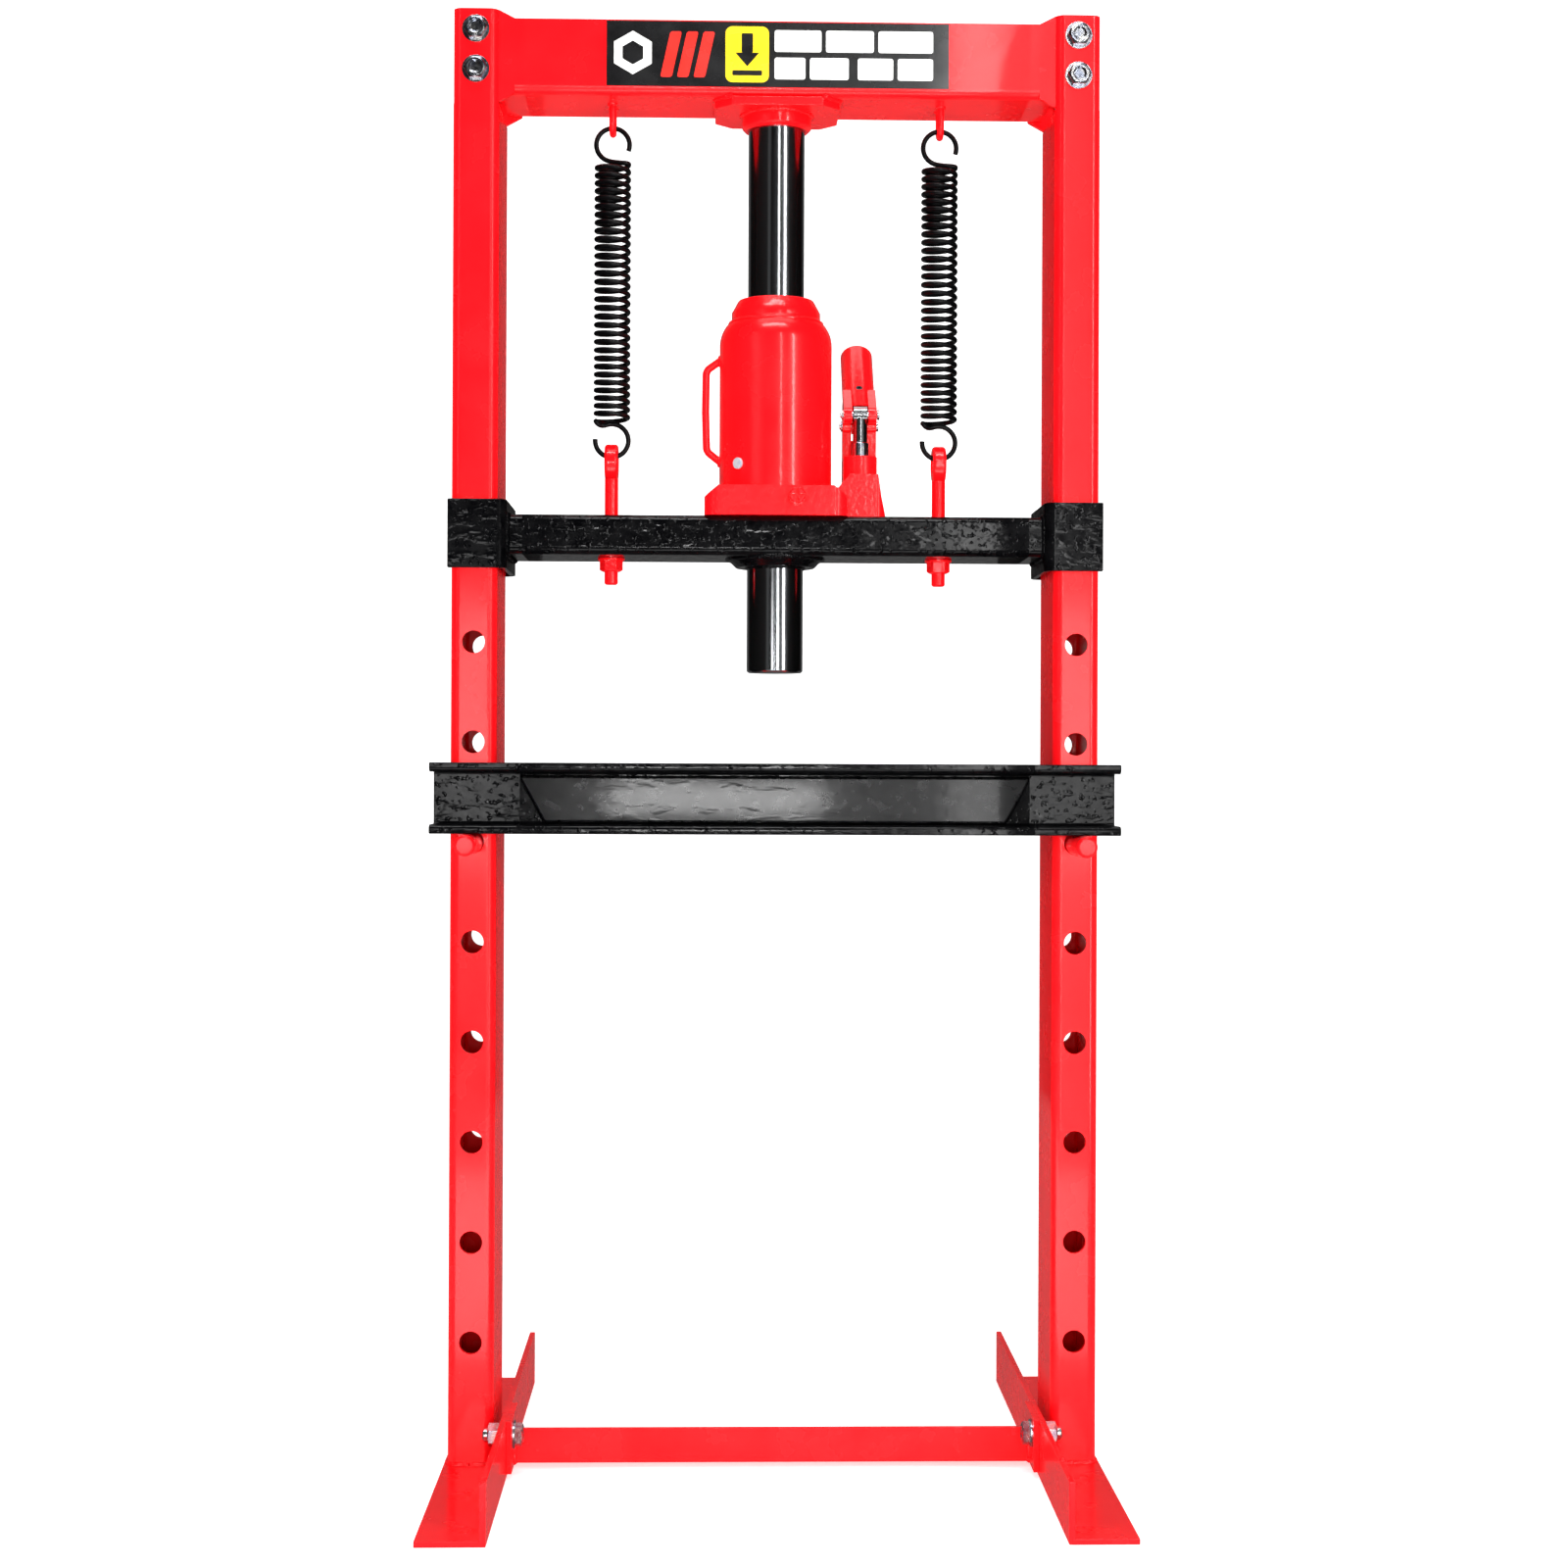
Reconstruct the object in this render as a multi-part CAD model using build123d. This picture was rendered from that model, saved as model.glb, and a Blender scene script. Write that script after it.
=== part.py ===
from build123d import *
from math import cos, radians, sin
import os

# Floor-standing H-frame shop press driven by a bottle jack. Millimetres, +Z up.
# Origin: on the floor, midway between the two posts and midway along the feet.
# The press is drawn with the jack run out: the crosshead hangs at its lowest point.

# ---- Frame ----
post_outer = 283.5
post_width = 40.0
post_depth = 96.0
post_top = 1274.0
wall = 5.0
post_bend = 8.0
web_top = 1192.0
foot_inner = 230.0
foot_length = 515.0
foot_height = 50.0
foot_outer = 286.5

# ---- Rows of holes for the bed pins ----
hole_radius = 10.0
hole_x = 263.5
hole_rows = 8
top_row_z = 721.8
row_pitch = 87.2

# ---- Upper crossbeam ----
beam_bottom = 1202.0
beam_top = 1267.0
beam_depth = post_depth - 2 * wall
ear_bottom = 1194.5
ear_start = 230.0
ear_full = 243.5
ear_end = 281.0
label_length = 300.0
label_height = 57.0
label_thickness = 0.5

# ---- Jack ----
travel = 120.0
ram_radius = 25.0
bore_radius = 27.05
running_gap = 0.06
cylinder_radius = 33.0
reservoir_radius = 50.0
reservoir_wall = 3.0
base_bottom = 834.0
base_top = 860.0
cap_bottom = 988.0
cap_top = 1007.0
nut_top = 1029.0
socket_plate_bottom = 1194.0
piston_bottom = base_top + travel + 4.0
piston_top = piston_bottom + 14.0

# ---- Hand pump beside the jack ----
pump_x = 75.0
pump_y = -12.0
plunger_radius = 6.5
boss_radius = 15.0
boss_top = 889.0
gland_radius = 7.6
gland_top = 902.5
crank_length = 18.0
half_swing = 27.0
lean_back = 42.0
pivot_y = pump_y + crank_length * (1 + cos(radians(half_swing))) / 2
pivot_z = 919.0
crank_across = crank_length * cos(radians(lean_back - half_swing))
crank_along = crank_length * sin(radians(lean_back - half_swing))
tube_outer = 14.5
tube_inner = 12.0
tube_start = 1.0
bore_start = 14.0
tube_end = 86.0
ear_inner = 7.4
lug_half = 6.8
eye_half = 6.0
eye_radius = 7.3
link_pin_radius = 3.0
cheek_outer = 15.0

# ---- Release valve ----
valve_x = 18.0
valve_z = 850.0
valve_radius = 5.0

# ---- Springs ----
spring_x = 146.0
spring_wire = 1.8
loop_radius = 14.0
coil_outer = 16.5
coil_inner = 12.9
coil_bottom = 919.6
coil_top = 1152.2
top_loop_z = 1168.4
bottom_loop_z = 903.4

# ---- Crosshead ----
crosshead_bottom = 799.0
crosshead_depth = 90.0
crosshead_half = 235.0
guide_clearance = 1.0
guide_bottom = 786.0
guide_top = 846.0
guide_outer = 286.0
press_ram_bottom = 697.5
flange_bottom = 791.0

# ---- Bed ----
bed_half = 296.5
bed_bottom = 555.6
bed_height = 61.0
bed_flange = 42.5
bed_inner_y = 49.5
bed_web = 6.0
bed_flange_thickness = 8.0
pin_radius = 9.0
pin_front = -118.0
pin_rear = 112.0
pin_z = top_row_z - 2 * row_pitch - 0.9

# ---- M12 fasteners ----
bolt_radius = 6.0
head_flats = 18.0
head_height = 7.0
nut_height = 10.0
washer_radius = 12.0
washer_thickness = 2.0
corner_bolt_x = 263.5
corner_bolt_rows = (1256.0, 1221.0)
crossbar_bolt_y = -60.5
crossbar_bolt_z = 35.0
clear_hole = 6.6


def save(shape, name):
    export_step(shape, "parts/" + name + ".step")


def save_group(shapes, name):
    save(Compound(children=list(shapes)), name)


def block(x_range, y_range, z_range):
    size = [high - low for low, high in (x_range, y_range, z_range)]
    centre = [(low + high) / 2 for low, high in (x_range, y_range, z_range)]
    return Pos(*centre) * Box(*size)


def rod_z(radius, x, y, low, high):
    return Pos(x, y, (low + high) / 2) * Cylinder(radius, high - low)


def rod_x(radius, low, high, y, z):
    return Pos((low + high) / 2, y, z) * Rot(0, 90, 0) * Cylinder(radius, high - low)


def rod_y(radius, x, low, high, z):
    return Pos(x, (low + high) / 2, z) * Rot(90, 0, 0) * Cylinder(radius, high - low)


def other_side(shape):
    return mirror(shape, about=Plane.YZ)


def front_to_rear(shape):
    return mirror(shape, about=Plane.XZ)


def along_x(origin_y, origin_z):
    # Section plane whose x runs up (+Z) and whose y runs to the rear (+Y).
    return Plane(origin=(0, origin_y, origin_z), x_dir=(0, 0, 1), z_dir=(-1, 0, 0))


def bent_channel(width, depth, thickness, bend):
    # Half of a rounded box: closed web at x = -width, open edge at x = 0.
    outer = RectangleRounded(2 * width, depth, bend)
    inner = RectangleRounded(2 * (width - thickness), depth - 2 * thickness, bend - thickness)
    return (outer - inner) & Pos(-width / 2, 0) * Rectangle(width, depth)


def revolved(points):
    profile = Plane.XZ * make_face(Polyline(*points, close=True))
    return revolve(profile, axis=Axis.Z)


def wire_along(path, radius):
    start = Plane(origin=path @ 0, z_dir=path % 0)
    return sweep(start * Circle(radius), path=path)


def hex_bar(flats, height):
    return extrude(RegularPolygon(flats / 2, 6, major_radius=False), height)


def bolt_head(flats, height):
    # Hexagon whose free face has its corners turned down to a cone.
    corner = flats / 2 / cos(radians(30))
    turned = revolved([(0, 0), (corner, 0), (corner, height - 1.6), (corner - 2.6, height), (0, height)])
    return hex_bar(flats, height) & turned


def hex_bolt(grip):
    # Seat at z = 0, head above it, shank below it.
    shank = Pos(0, 0, -grip / 2) * Cylinder(bolt_radius, grip)
    shank = chamfer(shank.edges().filter_by(GeomType.CIRCLE).sort_by(Axis.Z)[0], 1.2)
    # Forged heads are dished in the middle.
    dish = revolved([(0, head_height - 1.4), (4.2, head_height - 1.4), (6, head_height + 0.1), (0, head_height + 0.1)])
    return bolt_head(head_flats, head_height) + shank - dish


def hex_nut():
    body = bolt_head(head_flats, nut_height)
    return body - rod_z(bolt_radius, 0, 0, -1, nut_height + 1)


def washer():
    return rod_z(washer_radius, 0, 0, 0, washer_thickness) - rod_z(bolt_radius, 0, 0, -1, washer_thickness + 1)


# ======== Posts and feet ========

def right_post():
    outer = RectangleRounded(post_width, post_depth, post_bend)
    inner = RectangleRounded(post_width - 2 * wall, post_depth - 2 * wall, post_bend - wall)
    section = Pos(post_outer - post_width / 2, 0) * (outer - inner)
    post = Pos(0, 0, wall) * extrude(section, post_top - wall)
    # The side walls stop below the beam so that the beam's ears pass between the front and rear walls.
    post -= block((0, post_outer + 1), (-post_depth / 2 + wall, post_depth / 2 - wall), (web_top, post_top + 1))
    for row in range(hole_rows):
        z = top_row_z - row * row_pitch
        post -= rod_y(hole_radius, hole_x, -post_depth, post_depth, z)
    for z in corner_bolt_rows:
        post -= rod_y(bolt_radius, corner_bolt_x, -post_depth, post_depth, z)
    return post


def right_foot():
    # Angle iron with its upright leg on the inboard side, clear of the post.
    outline = Polyline(
        (foot_inner, 0), (foot_outer, 0), (foot_outer, wall), (foot_inner + wall, wall),
        (foot_inner + wall, foot_height), (foot_inner, foot_height), close=True)
    foot = extrude(Plane.XZ * make_face(outline), foot_length / 2, both=True)
    foot -= rod_x(bolt_radius, foot_inner - wall, foot_inner + 2 * wall, crossbar_bolt_y, crossbar_bolt_z)
    return foot


def lower_crossbar():
    bar_end = foot_inner - wall
    front, back, bottom, top, leg = -45.0, -14.0, 6.0, 36.0, 4.0
    angle = block((-bar_end, bar_end), (front, front + leg), (bottom, top))
    angle += block((-bar_end, bar_end), (front, back), (bottom, bottom + leg))
    tab = block((bar_end, foot_inner), (-76, -12), (wall, foot_height))
    tab -= rod_x(bolt_radius, bar_end - 1, foot_inner + 1, crossbar_bolt_y, crossbar_bolt_z)
    return angle + tab + other_side(tab)


# ======== Upper crossbeam ========

def upper_crossbeam():
    section = bent_channel(beam_top - beam_bottom, beam_depth, wall, post_bend)
    beam = extrude(along_x(0, beam_top) * section, ear_full - 1, both=True)
    outline = Polyline(
        (ear_start, beam_bottom + post_bend), (ear_start, beam_bottom), (ear_full, ear_bottom),
        (ear_end, ear_bottom), (ear_end, post_top), (ear_full, post_top), (ear_start, beam_top), close=True)
    ear = extrude(Plane.XZ * make_face(outline), wall)
    for z in corner_bolt_rows:
        ear -= rod_y(bolt_radius, corner_bolt_x, -wall - 1, 1, z)
    front_ear = Pos(0, -beam_depth / 2 + wall, 0) * ear
    ears = front_ear + front_to_rear(front_ear)
    return beam + ears + other_side(ears)


def ram_socket_plate():
    plate = extrude(chamfer(Rectangle(110, 84).vertices(), 15), beam_bottom - socket_plate_bottom)
    return Pos(0, 0, socket_plate_bottom) * plate


def ram_cup():
    bottom = socket_plate_bottom - 13.5
    cup = revolved([
        (ram_radius, bottom), (28, bottom), (31, bottom + 3), (31, socket_plate_bottom),
        (ram_radius, socket_plate_bottom)])
    return cup


def front_label():
    face = -beam_depth / 2
    bottom = beam_bottom + 7
    return block((-label_length / 2, label_length / 2), (face - label_thickness, face),
                 (bottom, bottom + label_height))


# ======== Frame fasteners ========

def corner_places():
    for x in (-corner_bolt_x, corner_bolt_x):
        for z in corner_bolt_rows:
            for facing in (1, -1):
                # Bolt axis +Z turned to face the front (-Y) or the rear (+Y).
                yield Pos(x, 0, z) * Rot(90 * facing, 0, 0)


def crossbar_places():
    for side in (-1, 1):
        # Bolt axis +Z turned to face the middle of the press.
        yield Pos(0, crossbar_bolt_y, crossbar_bolt_z) * Rot(0, -90 * side, 0)


def frame_fasteners():
    outer_seat = post_depth / 2 + washer_thickness
    inner_seat = post_depth / 2 - 2 * wall
    tab_seat = foot_inner - wall
    bolts, bar_bolts, washers, nuts = [], [], [], []
    for place in corner_places():
        bolts.append(place * Pos(0, 0, outer_seat) * hex_bolt(28.0))
        washers.append(place * Pos(0, 0, post_depth / 2) * washer())
        washers.append(place * Pos(0, 0, inner_seat - washer_thickness) * washer())
        nuts.append(place * Pos(0, 0, inner_seat - washer_thickness) * Rot(180, 0, 0) * hex_nut())
    for place in crossbar_places():
        bar_bolts.append(place * Pos(0, 0, -tab_seat + washer_thickness) * hex_bolt(28.0))
        washers.append(place * Pos(0, 0, -tab_seat) * washer())
        washers.append(place * Pos(0, 0, -tab_seat - 2 * wall - washer_thickness) * washer())
        nuts.append(place * Pos(0, 0, -tab_seat - 2 * wall - washer_thickness) * Rot(180, 0, 0) * hex_nut())
    return bolts, bar_bolts, washers, nuts


# ======== Return springs ========

def spring_hanger():
    leg, bend_z = 9.0, 1186.5
    down = Line((spring_x, -leg, beam_bottom), (spring_x, -leg, bend_z))
    turn = ThreePointArc((spring_x, -leg, bend_z), (spring_x, 0, bend_z - leg), (spring_x, leg, bend_z))
    rise = Line((spring_x, leg, bend_z), (spring_x, leg, beam_bottom))
    return wire_along(Wire([down, turn, rise]), 3.0)


def spring_loop(x, z, start, size):
    # Open ring of spring wire in the plane of the press.
    arc = Plane.XZ * CenterArc((x, z), loop_radius, start, size)
    return wire_along(arc, spring_wire)


def spring_coil():
    coil = rod_z(coil_outer, spring_x, 0, coil_bottom, coil_top)
    return coil - rod_z(coil_inner, spring_x, 0, coil_bottom - 1, coil_top + 1)


def eyebolt():
    eye_z, eye_radius, eye_hole, half = 884.5, 16.0, 9.0, 6.0
    eye = rod_x(eye_radius, spring_x - half, spring_x + half, 0, eye_z)
    eye -= rod_x(eye_hole, spring_x - half - 1, spring_x + half + 1, 0, eye_z)
    eye = fillet(eye.edges().filter_by(GeomType.CIRCLE), 2.8)
    shank = rod_z(bolt_radius, spring_x, 0, 775.5, eye_z - eye_hole - 3)
    return eye + chamfer(shank.edges().filter_by(GeomType.CIRCLE).sort_by(Axis.Z)[0], 1.2)


# ======== Crosshead ========

def crosshead_beam():
    height = base_bottom - crosshead_bottom
    outer = RectangleRounded(height, crosshead_depth, 7)
    inner = RectangleRounded(height - 2 * wall, crosshead_depth - 2 * wall, 2)
    beam = extrude(along_x(0, crosshead_bottom + height / 2) * (outer - inner), crosshead_half, both=True)
    for x in (-spring_x, spring_x):
        beam -= rod_z(clear_hole, x, 0, crosshead_bottom - 1, base_bottom + 1)
    return beam


def right_guide_bracket():
    depth = post_depth + 2 * (guide_clearance + wall)
    section = bent_channel(guide_outer - crosshead_half, depth, wall, 9)
    return Pos(guide_outer, 0, guide_bottom) * extrude(section, guide_top - guide_bottom)


def ram_flange():
    return revolved([
        (ram_radius, flange_bottom), (35, flange_bottom), (42, crosshead_bottom - 1),
        (42, crosshead_bottom), (ram_radius, crosshead_bottom)])


def press_ram():
    ram = rod_z(ram_radius, 0, 0, press_ram_bottom, crosshead_bottom)
    return chamfer(ram.edges().filter_by(GeomType.CIRCLE).sort_by(Axis.Z)[0], 1.5)


# ======== Bottle jack ========

def jack_ram():
    ram = rod_z(ram_radius, 0, 0, piston_top, socket_plate_bottom)
    return ram - rod_z(12, 0, 0, piston_top - 1, piston_top + 25)


def ram_piston():
    piston = rod_z(bore_radius - 0.25, 0, 0, piston_bottom, piston_top)
    groove = rod_z(bore_radius, 0, 0, piston_bottom + 4, piston_bottom + 10) - rod_z(23, 0, 0, piston_bottom, piston_top)
    return piston - groove + rod_z(12, 0, 0, piston_top, piston_top + 25)


def piston_seal():
    seal = rod_z(bore_radius - running_gap, 0, 0, piston_bottom + 4, piston_bottom + 10)
    return seal - rod_z(23, 0, 0, piston_bottom, piston_top)


def jack_base():
    outline = Polyline(
        (-63, base_bottom), (63, base_bottom), (63, 850), (50.5, base_top), (-50.5, base_top), (-63, 850), close=True)
    pad = extrude(Plane.XZ * make_face(outline), 50.5, both=True)
    pad &= Pos(0, 0, base_bottom) * extrude(RectangleRounded(126, 101, 12), base_top - base_bottom)
    boss = rod_z(boss_radius, pump_x, pump_y, base_bottom, boss_top)
    boss += block((pump_x - boss_radius, pump_x + boss_radius), (pump_y, pivot_y + 12), (base_bottom, boss_top))
    skirt_outline = Polyline(
        (40, base_bottom), (97, base_bottom), (93, 852), (pump_x + boss_radius, 872), (pump_x - 10, 872),
        (pump_x - 20, base_top), (40, base_top), close=True)
    skirt = Pos(0, 24, 0) * extrude(Plane.XZ * make_face(skirt_outline), 58)
    skirt &= Pos(57, -5, base_bottom) * extrude(RectangleRounded(80, 58, 9), 40)
    # Two cheeks carry the fixed pivot on either side of the socket's lug.
    cheek = block((pump_x - cheek_outer, pump_x + cheek_outer), (pivot_y - 4.5, pivot_y + 7.5), (boss_top - 1, pivot_z))
    cheek += rod_x(7.5, pump_x - cheek_outer, pump_x + cheek_outer, pivot_y, pivot_z)
    cheek -= block((pump_x - ear_inner, pump_x + ear_inner), (-60, 60), (boss_top, pivot_z + 10))
    bridge = block((pump_x - 8, pump_x + 8), (pivot_y - 1, pivot_y + 7.5), (boss_top - 1, 906))
    base = pad + boss + skirt + cheek + bridge
    base -= rod_x(link_pin_radius + running_gap, pump_x - 20, pump_x + 20, pivot_y, pivot_z)
    base -= rod_z(10, pump_x, pump_y, 858, boss_top - 6)
    base -= rod_z(gland_radius, pump_x, pump_y, boss_top - 7, boss_top + 1)
    # Oil ways: under the plunger, across the base past both balls, and up into the cylinder.
    base -= rod_z(2, pump_x, pump_y, 848, 859)
    base -= rod_x(2, 0, pump_x, pump_y, 848)
    base -= rod_z(2, 0, pump_y, 848, base_top + 1)
    for x in (30, 55):
        base -= rod_x(3.2, x - 3.4, x + 3.4, pump_y, 848)
    # Bore of the release valve, from the front face in to the oil way.
    base -= rod_y(valve_radius + running_gap, valve_x, -60, -30, valve_z)
    base -= rod_y(2, valve_x, -31, pump_y, valve_z)
    return base


def release_valve():
    stem = rod_y(valve_radius, valve_x, -53, -30.5, valve_z)
    head = rod_y(7, valve_x, -62, -51, valve_z)
    head = chamfer(head.edges().filter_by(GeomType.CIRCLE).sort_by(Axis.Y)[0], 1.0)
    head -= block((valve_x - 8, valve_x + 8), (-63, -58), (valve_z - 1.5, valve_z + 1.5))
    head -= block((valve_x - 1.5, valve_x + 1.5), (-63, -58), (valve_z - 8, valve_z + 8))
    return stem + head


def check_balls():
    return [Pos(x, pump_y, 848) * Sphere(3.0) for x in (30, 55)]


def jack_cylinder():
    return rod_z(cylinder_radius, 0, 0, base_top, cap_top - 1) - rod_z(bore_radius, 0, 0, base_top - 1, cap_top)


def plug_place():
    # On the reservoir wall, turned 49 degrees from the left towards the front.
    return Pos(0, 0, 880) * Rot(0, 0, 229) * Pos(reservoir_radius, 0, 0) * Rot(0, 90, 0)


def reservoir_tube():
    tube = rod_z(reservoir_radius, 0, 0, base_top, cap_bottom)
    tube -= rod_z(reservoir_radius - reservoir_wall, 0, 0, base_top - 1, cap_bottom + 1)
    return tube - plug_place() * Cylinder(3.5, 12)


def filler_plug():
    stem = Pos(0, 0, -1.5) * Cylinder(3.5, 5)
    head = Pos(0, 0, 1.75) * Cylinder(5.0, 2.5)
    return plug_place() * (stem + fillet(head.edges().filter_by(GeomType.CIRCLE).sort_by(Axis.Z)[-1], 1.0))


def reservoir_cap():
    outer = Polyline((cylinder_radius, cap_bottom), (reservoir_radius, cap_bottom))
    shoulder = ThreePointArc((reservoir_radius, cap_bottom), (48.3, 998.5), (43.5, cap_top))
    rest = Polyline((43.5, cap_top), (cylinder_radius, cap_top), (cylinder_radius, cap_bottom))
    return revolve(Plane.XZ * make_face(outer + shoulder + rest), axis=Axis.Z)


def gland_nut():
    bore = ram_radius + 0.09
    nut = revolved([
        (bore, 1002), (27, 1002), (27, cap_top), (42.5, cap_top), (42.5, 1009.5), (39.5, 1011.5),
        (39.5, 1018), (33.5, nut_top), (29, nut_top), (29, 1024), (bore, 1024)])
    return nut


def rod_wiper():
    return rod_z(29, 0, 0, 1024, nut_top) - rod_z(ram_radius + running_gap, 0, 0, 1023, nut_top + 1)


def carry_handle():
    corners = [(-45, 979), (-62, 967), (-62.5, 930), (-61.5, 895), (-45, 882)]
    path = Plane.XZ * FilletPolyline(*corners, radius=8)
    handle = wire_along(path, 3.3)
    return handle - rod_z(reservoir_radius, 0, 0, base_top, cap_bottom + 20)


# ======== Hand pump ========

def pump_cylinder():
    bore = plunger_radius + running_gap
    return rod_z(10, pump_x, pump_y, 858, boss_top - 6) - rod_z(bore, pump_x, pump_y, 857, boss_top)


def pump_gland():
    nut = rod_z(gland_radius, pump_x, pump_y, boss_top - 6, gland_top)
    nut = chamfer(nut.edges().filter_by(GeomType.CIRCLE).sort_by(Axis.Z)[-1], 1.2)
    return nut - rod_z(plunger_radius + running_gap, pump_x, pump_y, boss_top - 7, gland_top + 1)


def link_pin_z():
    # Height of the pin that joins the socket to the plunger.
    return pivot_z + crank_length * sin(radians(half_swing))


def pump_plunger():
    eye_z = link_pin_z()
    slot_radius = link_pin_radius + 0.35
    stem = rod_z(plunger_radius, pump_x, pump_y, 880, eye_z)
    eye = rod_x(eye_radius, pump_x - eye_half, pump_x + eye_half, pump_y, eye_z)
    slot = block((pump_x - 8, pump_x + 8), (pump_y - 1.1, pump_y + 1.1), (eye_z - slot_radius, eye_z + slot_radius))
    for y in (pump_y - 1.1, pump_y + 1.1):
        slot += rod_x(slot_radius, pump_x - 8, pump_x + 8, y, eye_z)
    return stem + eye - slot


def on_socket():
    # Origin on the pivot, x across the press, z up the socket tube, which leans to the rear.
    return Pos(pump_x, pivot_y, pivot_z) * Rot(-lean_back, 0, 0)


def socket_screw_place():
    return Pos(0, -crank_across / 2, 26) * Rot(90, 0, 0)


def plate_from(outline, low, high):
    # Flat plate square to x, drawn with y to the rear and z along the tube.
    face = Plane(origin=(low, 0, 0), x_dir=(0, 1, 0), z_dir=(1, 0, 0)) * make_hull(outline)
    return extrude(face, high - low)


def handle_socket():
    axis_y = -crank_across / 2
    tube = rod_z(tube_outer, 0, axis_y, tube_start, tube_end)
    ear_outline = (Pos(-crank_across, -crank_along) * Circle(7.5)).edges()
    ear_outline += (Pos(axis_y - 2, 16) * Rectangle(20, 20)).edges()
    ears = plate_from(ear_outline, -tube_outer, -ear_inner) + plate_from(ear_outline, ear_inner, tube_outer)
    lug_outline = Circle(7).edges() + (Pos(-1, 12) * Rectangle(9, 8)).edges()
    # Room for the plunger's eye between the ears, and for the cheeks beside the lug.
    eye_room = rod_x(eye_radius + 1.4, -ear_inner, ear_inner, -crank_across, -crank_along)
    cheek_room = rod_x(8.2, lug_half, 20, 0, 0)
    socket = tube - eye_room - cheek_room - other_side(cheek_room)
    socket -= block((-ear_inner, ear_inner), (-40, -8), (-20, -crank_along + 3))
    socket += ears - cheek_room - other_side(cheek_room)
    socket += plate_from(lug_outline, -lug_half, lug_half)
    socket -= rod_z(tube_inner, 0, axis_y, bore_start, tube_end + 1)
    socket -= rod_x(link_pin_radius, -20, 20, 0, 0)
    socket -= rod_x(link_pin_radius, -20, 20, -crank_across, -crank_along)
    socket -= socket_screw_place() * Pos(0, 0, 14) * Cylinder(3, 6)
    return on_socket() * socket


def link_places():
    yield on_socket()
    yield on_socket() * Pos(0, -crank_across, -crank_along)


def link_pins():
    seat = cheek_outer + 0.2
    pin = rod_x(link_pin_radius, -seat - 2.5, seat, 0, 0) + rod_x(4.5, seat, seat + 2, 0, 0)
    return [place * pin for place in link_places()]


def link_pin_clips():
    seat = cheek_outer + 0.2
    clip = rod_x(4.8, -seat - 1.2, -seat, 0, 0) - rod_x(link_pin_radius, -20, 0, 0, 0)
    return [place * clip for place in link_places()]


def socket_screw():
    screw = Pos(0, 0, 13.3) * Cylinder(3, 2)
    screw -= Pos(0, 0, 13.1) * hex_bar(3, 2)
    return on_socket() * socket_screw_place() * screw


# ======== Bed ========

def front_bed_channel():
    inner, outer = -bed_inner_y, -bed_inner_y - bed_flange
    web_face = inner - bed_web
    bottom, top = bed_bottom, bed_bottom + bed_height
    section = Plane.YZ * make_face(Polyline(
        (inner, bottom), (inner, top), (outer, top), (outer, top - bed_flange_thickness),
        (web_face, top - bed_flange_thickness), (web_face, bottom + bed_flange_thickness),
        (outer, bottom + bed_flange_thickness), (outer, bottom), close=True))
    channel = extrude(section, bed_half, both=True)
    along = channel.edges().filter_by(Axis.X)
    roots = along.filter_by_position(Axis.Y, web_face - 0.1, web_face + 0.1)
    channel = fillet(roots, 2.4)
    tips = channel.edges().filter_by(Axis.X).filter_by_position(Axis.Y, outer - 0.1, outer + 0.1)
    return fillet(tips.filter_by_position(Axis.Z, bottom + 1, top - 1), 4)


def front_bed_stiffener():
    bottom = bed_bottom + bed_flange_thickness + 2.5
    top = bed_bottom + bed_height - bed_flange_thickness - 4.5
    face = -bed_inner_y - bed_web
    outline = Polyline((-200, bottom), (200, bottom), (221, top), (-221, top), close=True)
    plate = extrude(Plane.XZ * make_face(outline), 5)
    return Pos(0, face, 0) * plate


def bed_spacers():
    plate = block((233, 239), (-bed_inner_y, bed_inner_y), (bed_bottom + 6.5, bed_bottom + bed_height - 6.5))
    return [plate, other_side(plate)]


def right_bed_pin():
    pin = rod_y(pin_radius, hole_x, pin_front, pin_rear, pin_z)
    return chamfer(pin.edges().filter_by(GeomType.CIRCLE), 2.0)


# ======== Output ========

os.makedirs("parts", exist_ok=True)

# Frame
save(right_post(), "right_post")
save(other_side(right_post()), "left_post")
save(right_foot(), "right_foot")
save(other_side(right_foot()), "left_foot")
save(lower_crossbar(), "lower_crossbar")
save(upper_crossbeam(), "upper_crossbeam")
save(ram_socket_plate(), "ram_socket_plate")
save(ram_cup(), "ram_cup")
save(front_label(), "front_label")
corner_bolts, crossbar_bolts, frame_washers, frame_nuts = frame_fasteners()
save_group(corner_bolts, "corner_bolts")
save_group(crossbar_bolts, "crossbar_bolts")
save_group(frame_washers, "frame_washers")
save_group(frame_nuts, "frame_nuts")
save_group([spring_hanger(), other_side(spring_hanger())], "spring_hangers")
save_group([spring_loop(x, top_loop_z, -20, 330) for x in (-spring_x, spring_x)], "upper_spring_loops")
save_group([spring_coil(), other_side(spring_coil())], "spring_coils")
save(jack_ram(), "jack_ram")
save(ram_piston(), "ram_piston")
save(piston_seal(), "piston_seal")

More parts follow.
